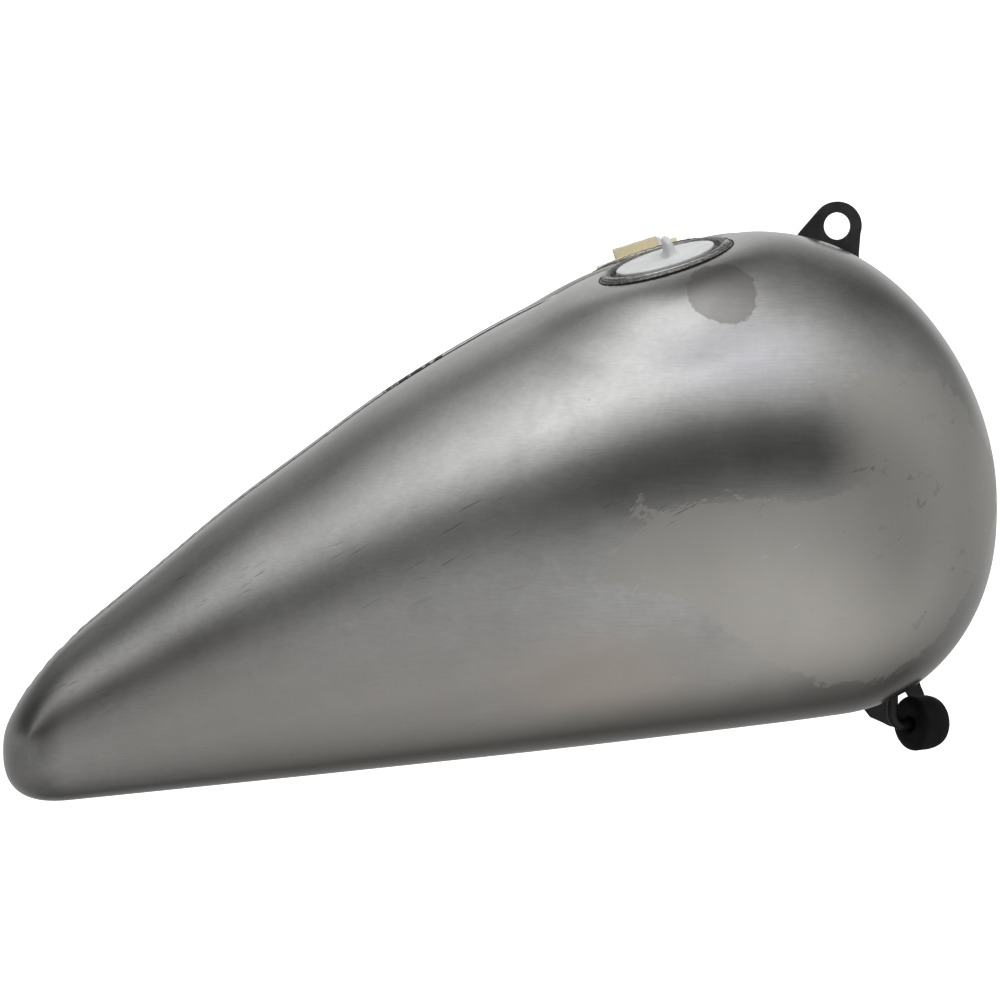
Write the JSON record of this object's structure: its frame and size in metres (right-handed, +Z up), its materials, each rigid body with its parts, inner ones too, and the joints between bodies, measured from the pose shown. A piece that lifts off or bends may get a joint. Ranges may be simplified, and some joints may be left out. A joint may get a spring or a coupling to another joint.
{
  "type": "motorcycle fuel tank",
  "caption": "Teardrop motorcycle fuel tank in bare brushed steel, with two lobes, a centre channel, plugged fillers, front ears and a rubber-capped nipple.",
  "frame": {"origin": "centre of the upper front ear's hole, on the centre plane", "axes": "+X towards the bike's front, +Y towards the rider's left, +Z up, as the tank sits on the bike"},
  "size_m": [0.5785, 0.3422, 0.3465],
  "materials": {
    "bare_steel": "bare brushed sheet steel, oily and lightly scratched",
    "cast_collar": "rough grey steel",
    "dark_phosphate": "satin black phosphate",
    "nipple_steel": "dark dull steel",
    "white_plastic": "satin moulded plastic",
    "black_rubber": "matt rubber",
    "paper_tape": "creped paper tape"
  },
  "bodies": {
    "tank": {"top_bridge": "bare_steel", "petcock_bung": "cast_collar", "vent_tube": "nipple_steel", "rear_mount_bracket": "dark_phosphate", "upper_front_ear": "dark_phosphate", "lower_front_ear": "dark_phosphate", "lower_front_brace": "dark_phosphate", "balance_tube": "nipple_steel", "drain_nipple": "nipple_steel", "dash_front_stud": "nipple_steel", "dash_rear_stud": "nipple_steel", "left_outer_skin": "bare_steel", "left_inner_wall": "bare_steel", "left_filler_neck": "cast_collar", "left_front_baffle": "bare_steel", "left_rear_baffle": "bare_steel", "right_outer_skin": "bare_steel", "right_inner_wall": "bare_steel", "right_filler_neck": "cast_collar", "right_front_baffle": "bare_steel", "right_rear_baffle": "bare_steel"},
    "left_plug": {"left_filler_plug": "white_plastic", "masking_tape": "paper_tape"},
    "right_plug": {"right_filler_plug": "white_plastic"},
    "drain_cap": {"drain_cap": "black_rubber"}
  },
  "joints": [
    {"name": "left_plug_lift", "type": "slide", "parent": "tank", "child": "left_plug", "axis": [-0.2925, 0.1478, 0.9448], "range_m": [0, 0.045]},
    {"name": "right_plug_lift", "type": "slide", "parent": "tank", "child": "right_plug", "axis": [-0.2925, -0.1478, 0.9448], "range_m": [0, 0.045]},
    {"name": "drain_cap_pull", "type": "slide", "parent": "tank", "child": "drain_cap", "axis": [0.8571, 0.5151, 0], "range_m": [0, 0.03]}
  ]
}
